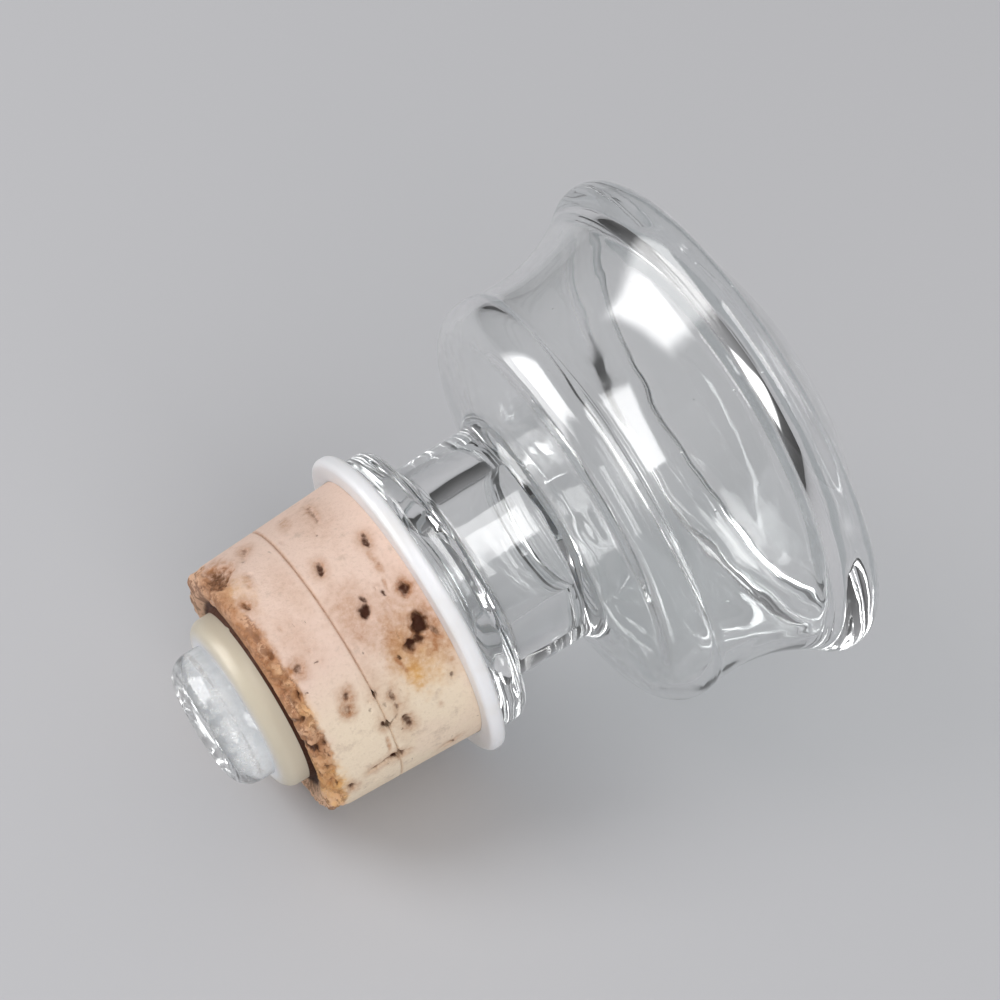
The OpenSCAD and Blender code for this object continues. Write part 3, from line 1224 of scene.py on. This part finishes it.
@dataclass
class Cork:
    """The cork: two rings glued end to end, the lower one worn round its edge.

    A pair of values is where something starts to show and where it shows in full. It
    holds distances, or angles in degrees for the two sides.
    """

    placement: Placement
    bore_radius: float = 10.85
    worn_edge: float = 0.9
    glue_bevel: float = 0.2
    coarse_ring: float = 2.0
    worn_reach: float = 2.6
    least_wear: float = 0.3
    even_depth: float = 0.15
    lump_depth: float = 1.1
    lump_spacing: float = 3.4
    crumb_depth: float = 0.6
    crumb_spacing: float = 0.9
    speck_depth: float = 0.35
    speck_spacing: float = 0.42
    end_hollow: float = 0.7
    end_hollow_reach: Point = (2.6, 0.6)
    end_face_reach: Point = (0.5, 0.1)
    # Where the painted shade in the gap round the sleeve fades in, out from the bore.
    crevice_reach: Point = (1.8, 0.7)
    fray: float = 0.9
    fray_spacing: float = 1.1
    fine_fray_spacing: float = 0.45
    pit_fray: Pattern = Pattern(0.9, 3, 0.6)
    halo_reach: float = 0.8
    halo_edge: Point = (1.5, 0.1)
    glue_stain: float = 0.4
    glue_reach: Point = (0.3, 0.06)
    cream_side: Point = (95.0, 35.0)
    crumbly_side: Point = (5.0, 45.0)
    around: int = 640
    step: float = 0.16
    coarse_step: float = 1.2
    crease: float = 60.0

    upper_node = "upper_cork_ring"
    lower_node = "lower_cork_ring"

    def __post_init__(self) -> None:
        """Measure the CAD nodes."""
        self.upper = Reach.of_node(self.upper_node, self.placement)
        self.lower = Reach.of_node(self.lower_node, self.placement)
        bevelled = self.upper.low - self.glue_bevel
        self.slope = (self.upper.radius - self.lower.radius) / (self.upper.high - bevelled)

    def radius(self, height: float) -> float:
        """The cork's radius at a height between the two ends."""
        return self.upper.radius + self.slope * (height - self.upper.high)

    def close(self, outline: Outline, ring: Reach) -> Outline:
        """End a ring's section along its top face and down its bore."""
        outline.line((self.bore_radius, ring.high), self.coarse_step)
        return outline.line((self.bore_radius, ring.low + self.coarse_step), self.coarse_step)

    def upper_outline(self) -> Outline:
        """Draw the section of the ring against the flange.

        Returns:
            The outline, whose left side is solid.
        """
        low, high = self.upper.low, self.upper.high
        outline = (
            Outline((self.bore_radius, low), self.step)
            .line((self.radius(low) - self.coarse_ring, low), self.coarse_step)
            .line((self.radius(low) - self.glue_bevel, low))
            .line((self.radius(low), low + self.glue_bevel))
            .line((self.radius(high), high))
        )
        return self.close(outline, self.upper)

    def lower_outline(self) -> Outline:
        """Draw the section of the worn ring at the lower end.

        Returns:
            The outline, whose left side is solid.
        """
        low, high = self.lower.low, self.lower.high
        edge = self.worn_edge
        tilt = math.degrees(math.atan(self.slope))
        centre = self.radius(low) - edge * (math.hypot(1, self.slope) - self.slope)
        bevel = high - self.glue_bevel
        outline = (
            Outline((self.bore_radius, low), self.step)
            .line((centre - self.coarse_ring, low), self.step * 2)
            .arc((centre, low + edge), edge, -90, -tilt)
            .line((self.radius(bevel), bevel))
            .line((self.radius(high) - self.glue_bevel, high))
        )
        return self.close(outline, self.lower)

    def wear(self, grid: Grid) -> tuple[np.ndarray, np.ndarray]:
        """Crumble the lower edge and end face round the sleeve, and mark painted shade by the
        sleeve.

        Args:
            grid: The lower ring, whose points are moved.

        Returns:
            How worn each point is, and how much painted shade it gets in the gap round the
            sleeve, both from 0 to 1.
        """
        bore = self.bore_radius
        low = self.lower.low
        distance = np.hypot(grid.radii() - self.radius(low), grid.heights() - low)
        coarse = grid.waves(self.lump_spacing, 2.6)
        fine = grid.waves(self.crumb_spacing, 6.4)
        finest = grid.waves(self.speck_spacing, 9.9)
        near = smooth(distance, self.worn_reach, 0.3)
        side = smooth(np.degrees(grid.angles()), *self.crumbly_side)
        crumbly = self.least_wear + (1 - self.least_wear) * side
        lumps = self.even_depth + self.lump_depth * smooth(coarse, 0.35, 0.75)
        crumbs = self.crumb_depth * smooth(fine, 0.4, 0.7)
        crumbs = crumbs + self.speck_depth * smooth(finest, 0.4, 0.7)
        outer, inner = self.end_hollow_reach
        hollowed = smooth(grid.radii(), bore + outer, bore + inner)
        hollowed *= smooth(grid.heights(), low + 0.2, low)
        hollowed *= smooth(grid.radii(), bore, bore + 0.3)
        outer, inner = self.end_face_reach
        end_face = smooth(grid.heights(), low + outer, low + inner)
        grid.sink(hollowed * self.end_hollow * (0.5 + coarse))
        grid.slant(near * crumbly * (lumps + crumbs))
        # Painted shade: darkens the end face next to the sleeve, where shade falls in the gap.
        outer, inner = self.crevice_reach
        gap_shade = smooth(grid.radii(), bore + outer, bore + inner) * end_face
        reach = self.worn_reach * (0.55 + 0.9 * coarse)
        return np.maximum(smooth(distance / reach, 1.15, 0.35), end_face), gap_shade

    def mark(self, grid: Grid) -> dict[str, np.ndarray]:
        """Sink the chosen pits and note where the cork is stained.

        Args:
            grid: A ring, whose points are moved.

        Returns:
            How strong each tone is at each point, from 0 to 1.
        """
        ragged = grid.waves(self.fray_spacing, 4.4) - 0.5
        ragged += 0.7 * (grid.waves(self.fine_fray_spacing, 1.2) - 0.5)
        angles = np.degrees(grid.angles())
        heights = grid.heights()
        outside = smooth(grid.radii(), self.bore_radius + 1, self.bore_radius + 2)
        tones = {tone: np.zeros(heights.shape) for tone in Tone}
        depth = np.zeros(heights.shape)
        listed = [(tone, mark) for tone, marks in MARKS.items() for mark in marks]
        for tone, mark in listed:
            turn = np.radians((angles - mark.angle + 180) % 360 - 180)
            along = heights - mark.height
            across = turn * self.radius(mark.height)
            lean = math.radians(mark.lean)
            length = along * math.cos(lean) + across * math.sin(lean)
            width = across * math.cos(lean) - along * math.sin(lean)
            distance = np.hypot(length / mark.long, width / mark.wide) + self.fray * ragged
            near = smooth(distance, tone.end, tone.full) * outside
            around = np.hypot(
                length / (mark.long + self.halo_reach), width / (mark.wide + self.halo_reach)
            )
            halo = smooth(around + self.fray / 2 * ragged, *self.halo_edge) * outside
            tones[tone] = np.maximum(tones[tone], near * mark.strength)
            tones[Tone.BROWN] = np.maximum(tones[Tone.BROWN], halo * mark.halo)
            depth = np.maximum(depth, near * mark.depth)
        grid.sink(depth)
        glue = smooth(np.abs(heights - self.upper.low), *self.glue_reach) * outside
        glue *= self.glue_stain * (0.4 + 0.6 * smooth(np.abs(angles), *self.cream_side))
        tones[Tone.BROWN] = np.maximum(tones[Tone.BROWN], glue)
        return {tone.label: values for tone, values in tones.items()}

    def pitting(self, material: bpy.types.Material, seed: int) -> GeometryTree:
        """Sink many small random pits into a ring, beside the chosen ones.

        Args:
            material: The cork.
            seed: Places the pits.

        Returns:
            The tree.
        """
        tree = GeometryTree(
            "cork_pits",
            {
                "Axis": tuple(self.placement.axis),
                "Density": 60000.0,
                "Seed": seed,
                "Least length": 0.12 * SCALE,
                "Most length": 0.55 * SCALE,
                "Least width": 0.1 * SCALE,
                "Most width": 0.3 * SCALE,
                "Most depth": 0.25 * SCALE,
                "Raggedness": 0.9 * SCALE,
            },
        )
        given = tree.given
        pits = tree.get(
            "GeometryNodeDistributePointsOnFaces",
            {"Mesh": given["Geometry"], "Density": given["Density"], "Seed": given["Seed"]},
        )
        sizes = (
            ("long", tree.between(given["Least length"], given["Most length"], 3)),
            ("wide", tree.between(given["Least width"], given["Most width"], 4)),
            ("depth", tree.between(0.0, given["Most depth"], 5)),
            ("strength", tree.between(0.0, 0.9, 6)),
        )
        for name, size in sizes:
            pits = tree.keep(pits, name, size)
        here = tree.get("GeometryNodeInputPosition")
        ragged = tree.noise(here, self.pit_fray, "Color")
        shift = tree.vector("SUBTRACT", ragged, Vector((0.5, 0.5, 0.5)))
        shifted = tree.vector("ADD", here, tree.scaled(shift, given["Raggedness"]))
        nearest = tree.get(
            "GeometryNodeSampleNearest", {"Geometry": pits, "Sample Position": shifted}
        )
        centre = tree.read(pits, nearest, here, "FLOAT_VECTOR")
        long, wide, depth, strength = (
            tree.read(pits, nearest, tree.named(name), "FLOAT") for name, _ in sizes
        )
        away = tree.vector("SUBTRACT", shifted, centre)
        along = tree.measure("DOT_PRODUCT", away, given["Axis"])
        sideways = tree.vector("SUBTRACT", away, tree.scaled(given["Axis"], along))
        across = tree.measure("LENGTH", sideways)
        length = tree.math("POWER", tree.math("DIVIDE", along, wide), 2.0)
        width = tree.math("POWER", tree.math("DIVIDE", across, long), 2.0)
        distance = tree.math("SQRT", tree.math("ADD", length, width))
        hollow = tree.ramp(distance, 1.4, 0.4)
        darkness = tree.math("MULTIPLY", hollow, strength)
        darkness = tree.math("MAXIMUM", darkness, tree.named(Tone.PIT.label))
        sunk = tree.math("MULTIPLY", tree.math("MULTIPLY", hollow, depth), -1.0)
        kept = tree.keep(given["Geometry"], Tone.PIT.label, darkness)
        offset = tree.scaled(tree.get("GeometryNodeInputNormal"), sunk)
        pitted = tree.get("GeometryNodeSetPosition", {"Geometry": kept, "Offset": offset})
        tree.finish(pitted, material)
        return tree

    def build(self, material: bpy.types.Material) -> None:
        """Make both rings.

        Args:
            material: The cork.
        """
        rings = (
            ("cork_ring_at_flange", self.upper_node, self.upper_outline(), 11),
            ("cork_ring_at_tip", self.lower_node, self.lower_outline(), 23),
        )
        for name, node, outline, seed in rings:
            grid = Grid.turned(outline, self.around, Solid.LEFT, loop=True)
            turned = np.degrees(np.abs(grid.angles()))
            values = {"ruddy": smooth(turned, *self.cream_side)}
            values |= self.mark(grid)
            values["worn"] = np.zeros(turned.shape)
            if node == self.lower_node:
                values["worn"], gap_shade = self.wear(grid)
                # Painted shade: the gap round the sleeve takes the pits' dark colour.
                values[Tone.PIT.label] = np.maximum(values[Tone.PIT.label], gap_shade)
            data = make_mesh(node, [grid], self.placement, values, self.crease)
            thing = add_object(name, data)
            self.pitting(material, seed).apply(thing)
            hand_over(thing, node)


@dataclass(frozen=True)
class Window:
    """A bright patch of the surroundings that the glass and the plastic mirror.

    Attributes:
        aim: Where its middle lies, seen from the stopper.
        wide: Half its width, in degrees.
        tall: Half its height, in degrees.
        strength: How bright it is.
        edge: How far its edges fade, in degrees.
    """

    aim: tuple[float, float, float]
    wide: float
    tall: float
    strength: float
    edge: float

    def shine(self, sky: Nodes, toward: Socket) -> Socket:
        """Work out how bright the window is in each direction.

        Args:
            sky: The nodes of the world.
            toward: The direction.

        Returns:
            The brightness.
        """
        middle = Vector(self.aim).normalized()
        side = VERTICAL.cross(middle).normalized()
        shine = sky.ramp(sky.measure("DOT_PRODUCT", toward, middle), 0.0, 0.1, self.strength)
        for across, half in ((side, self.wide), (middle.cross(side), self.tall)):
            offset = sky.measure("DOT_PRODUCT", toward, across)
            start = math.sin(math.radians(half + self.edge))
            full = math.sin(math.radians(half))
            inside = sky.ramp(sky.math("ABSOLUTE", offset), start, full)
            shine = sky.math("MULTIPLY", shine, inside)
        return shine


WINDOWS = (
    Window((-0.80, 0.42, 0.42), 15, 24, 10.0, 8.0),
    Window((0.10, -0.40, 0.91), 7, 20, 9.0, 3.0),
    Window((0.8, -0.25, 0.5), 8, 10, 3.0, 5.0),
)


@dataclass(frozen=True)
class Lamp:
    """A round soft lamp that faces the stopper and isn't mirrored in it.

    Attributes:
        name: Its name.
        place: Where it hangs, in metres.
        size: Its diameter, in metres.
        power: Its power in watts.
    """

    name: str
    place: tuple[float, float, float]
    size: float
    power: float

    def hang(self, aim: Vector) -> None:
        """Hang the lamp.

        Args:
            aim: The point that it faces.
        """
        data = bpy.data.lights.new(self.name, "AREA")
        data.shape = "DISK"
        data.size = self.size
        data.energy = self.power
        thing = add_object(self.name, data)
        thing.visible_glossy = False
        thing.visible_transmission = False
        thing.location = self.place
        thing.rotation_euler = (aim - Vector(self.place)).to_track_quat("-Z", "Y").to_euler()


LAMPS = (
    Lamp("window", (-0.45, 0.35, 0.75), 0.6, 3.4),
    Lamp("front", (-0.43, -1.0, 0.5), 0.8, 7.5),
)


@dataclass(frozen=True)
class Studio:
    """The floor, the lamps, the world and the camera. Lengths are in metres here.

    The world lights the scene with its ambient colour. The glass and the plastic mirror
    the horizon and the zenith instead.
    """

    floor_half: float = 3.0
    look_azimuth: float = 30.5
    look_elevation: float = 41.3
    distance: float = 0.47
    lens_mm: float = 150.0
    sensor_mm: float = 36.0
    lamp_aim: tuple[float, float, float] = (0.0, 0.0, 0.03)
    ambient: Colour = (0.45, 0.45, 0.45)
    horizon: Colour = (0.04, 0.04, 0.04)
    zenith: Colour = (0.38, 0.38, 0.39)
    zenith_from: float = 0.9

    def floor(self) -> None:
        """Lay the floor just under the stopper."""
        half = self.floor_half
        height = cad_box[0][2]
        corners = [(-half, -half), (half, -half), (half, half), (-half, half)]
        data = bpy.data.meshes.new("floor")
        data.from_pydata([(x, y, height) for x, y in corners], [], [(0, 1, 2, 3)])
        data.materials.append(FloorFinish().material())
        add_object("floor", data)

    def world(self) -> None:
        """Light everything softly from all round, with a soft glow for each window."""
        world = bpy.data.worlds.new("studio")
        world.use_nodes = True
        sky = Nodes(world.node_tree)
        path = sky.add("ShaderNodeLightPath").outputs
        seen = sky.math("MAXIMUM", path["Is Glossy Ray"], path["Is Transmission Ray"])
        toward = sky.add("ShaderNodeTexCoord").outputs["Generated"]
        height = sky.add("ShaderNodeSeparateXYZ", {0: toward}).outputs["Z"]
        mirrored = sky.mix(sky.ramp(height, 0.0, self.zenith_from), self.horizon, self.zenith)
        colour = sky.mix(seen, self.ambient, mirrored)
        even = sky.get("ShaderNodeBackground", {"Color": colour})
        bright: float | Socket = 0.0
        for window in WINDOWS:
            bright = sky.math("ADD", bright, window.shine(sky, toward))
        glow = sky.get("ShaderNodeBackground", {"Strength": sky.math("MULTIPLY", bright, seen)})
        both = sky.get("ShaderNodeAddShader", {0: even, 1: glow})
        out = world.node_tree.nodes["World Output"]
        world.node_tree.links.new(both, out.inputs["Surface"])
        bpy.context.scene.world = world

    def camera(self) -> None:
        """Set up the camera, which looks down at the stopper from the cork's side."""
        turn = math.radians(self.look_azimuth)
        rise = math.radians(self.look_elevation)
        level = math.cos(rise)
        look = Vector((math.sin(turn) * level, math.cos(turn) * level, -math.sin(rise)))
        data = bpy.data.cameras.new("camera")
        data.lens = self.lens_mm
        data.sensor_width = self.sensor_mm
        thing = add_object("camera", data)
        thing.location = (Vector(cad_box[0]) + Vector(cad_box[1])) / 2 - look * self.distance
        thing.rotation_euler = look.to_track_quat("-Z", "Y").to_euler()
        bpy.context.scene.camera = thing

    def build(self) -> None:
        """Set everything up."""
        self.camera()
        self.floor()
        for lamp in LAMPS:
            lamp.hang(Vector(self.lamp_aim))
        self.world()
        bpy.context.scene.view_settings.view_transform = "Standard"


def main() -> None:
    """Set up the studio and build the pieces."""
    logging.basicConfig(level=logging.INFO, format="%(name)s: %(message)s")
    placement = Placement.from_record(frame["record"])
    Studio().build()
    cork = Cork(placement)
    cork.build(CorkFinish().material())
    sleeve = Sleeve(placement)
    sleeve.build(cork.upper.radius, PlasticFinish().material())
    BlownGlass(placement, sleeve.reach).build(GlassFinish().material())


if __name__ == "__main__":
    main()
